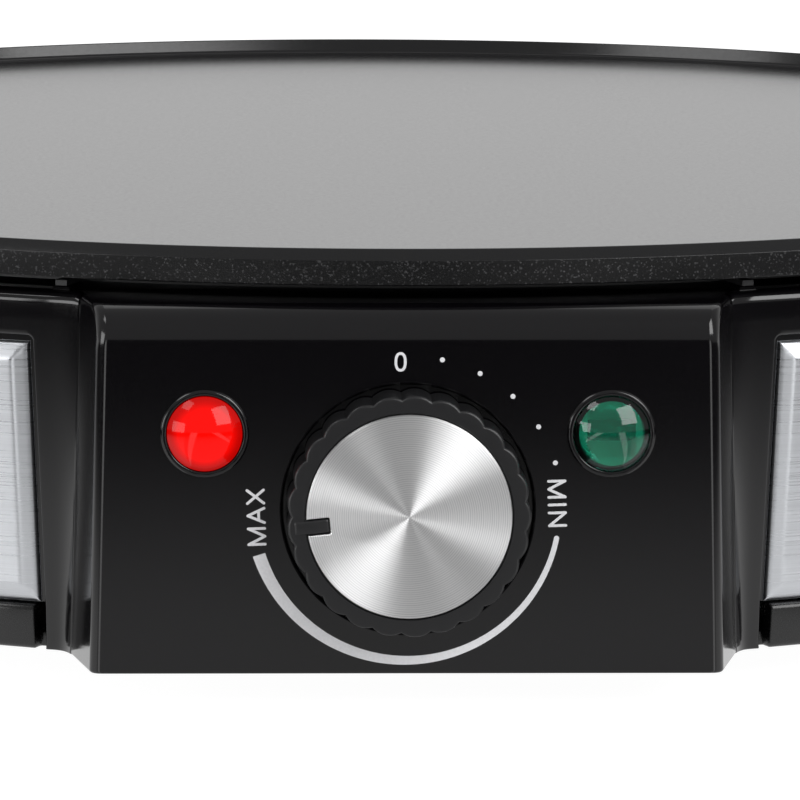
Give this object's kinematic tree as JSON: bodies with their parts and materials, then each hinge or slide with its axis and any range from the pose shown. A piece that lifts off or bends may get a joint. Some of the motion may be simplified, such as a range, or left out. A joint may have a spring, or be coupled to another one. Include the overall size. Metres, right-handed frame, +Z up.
{
  "type": "electric crepe maker",
  "caption": "Round countertop crepe maker: low-lipped non-stick cooking plate on a gloss black base with steel trims, thermostat knob and pilot lights.",
  "frame": {"origin": "on the surface the feet stand on, under the centre of the bounding box", "axes": "+Z up, -Y towards the control panel, +X to the right seen from the front"},
  "size_m": [0.3, 0.3124, 0.0682],
  "materials": {
    "nonstick_aluminium": "cast aluminium with satin black non-stick coating",
    "element_steel": "heat-tinted sheathed tube",
    "shield_steel": "aluminised sheet",
    "plated_steel": "zinc plated",
    "gloss_black": "high-gloss moulded",
    "matt_black": "fine-textured moulded",
    "foot_rubber": "matt",
    "brushed_trim": "horizontally brushed",
    "knob_black": "polished moulded",
    "turned_aluminium": "fine concentric turning lines",
    "brass": "machined",
    "steatite": "unglazed steatite",
    "spring_bronze": "rolled strip",
    "red_lens": "clear tinted polycarbonate",
    "green_lens": "clear tinted polycarbonate",
    "white_nylon": "natural moulded nylon",
    "neon_glass": "clear glass",
    "lead_black": "silicone sleeve",
    "lead_red": "silicone sleeve",
    "lead_blue": "silicone sleeve"
  },
  "bodies": {
    "root": {"cooking_plate": "nonstick_aluminium", "heating_element": "element_steel", "element_pins": "plated_steel", "heat_shield": "shield_steel", "tie_screws": "plated_steel", "housing": "gloss_black", "base_pan": "matt_black", "housing_screws": "plated_steel", "feet": "foot_rubber", "trim_left": "brushed_trim", "trim_right": "brushed_trim", "control_panel": "gloss_black", "panel_screws": "plated_steel", "thermostat_bracket": "plated_steel", "bracket_screws": "plated_steel", "thermostat_bush": "brass", "thermostat_nut": "plated_steel", "thermostat_frame": "plated_steel", "ceramic_stack": "steatite", "contact_blades": "spring_bronze", "stack_rivet": "plated_steel", "red_lens": "red_lens", "green_lens": "green_lens", "lamp_rims": "knob_black", "lamp_clips": "plated_steel", "lamp_holders": "white_nylon", "neon_lamps": "neon_glass", "thermal_fuse": "steatite", "fuse_clip": "plated_steel", "terminal_block": "steatite", "terminal_screws": "brass", "earth_screw": "plated_steel", "lead_live": "lead_black", "lead_switched": "lead_red", "lead_fused": "lead_red", "lead_neutral": "lead_blue", "lamp_leads": "white_nylon", "cord_grommet": "foot_rubber", "cord_clamp": "white_nylon", "clamp_screws": "plated_steel"},
    "knob": {"knob": "knob_black", "knob_cap": "turned_aluminium", "knob_clip": "plated_steel", "thermostat_shaft": "plated_steel", "shaft_ring": "plated_steel"},
    "pin": {"adjusting_pin": "steatite"}
  },
  "joints": [
    {"name": "knob_turn", "type": "hinge", "parent": "root", "child": "knob", "pos_m": [0, -0.14875, 0.0306], "axis": [0, 1, 0], "range_deg": [-264, 0]},
    {"name": "pin_push", "type": "slide", "parent": "root", "child": "pin", "axis": [0, 1, 0], "range_m": [0, 0.0008]}
  ],
  "couplings": [
    {"joint": "pin_push", "follows": "knob_turn", "m_per_rad": -0.00017}
  ]
}
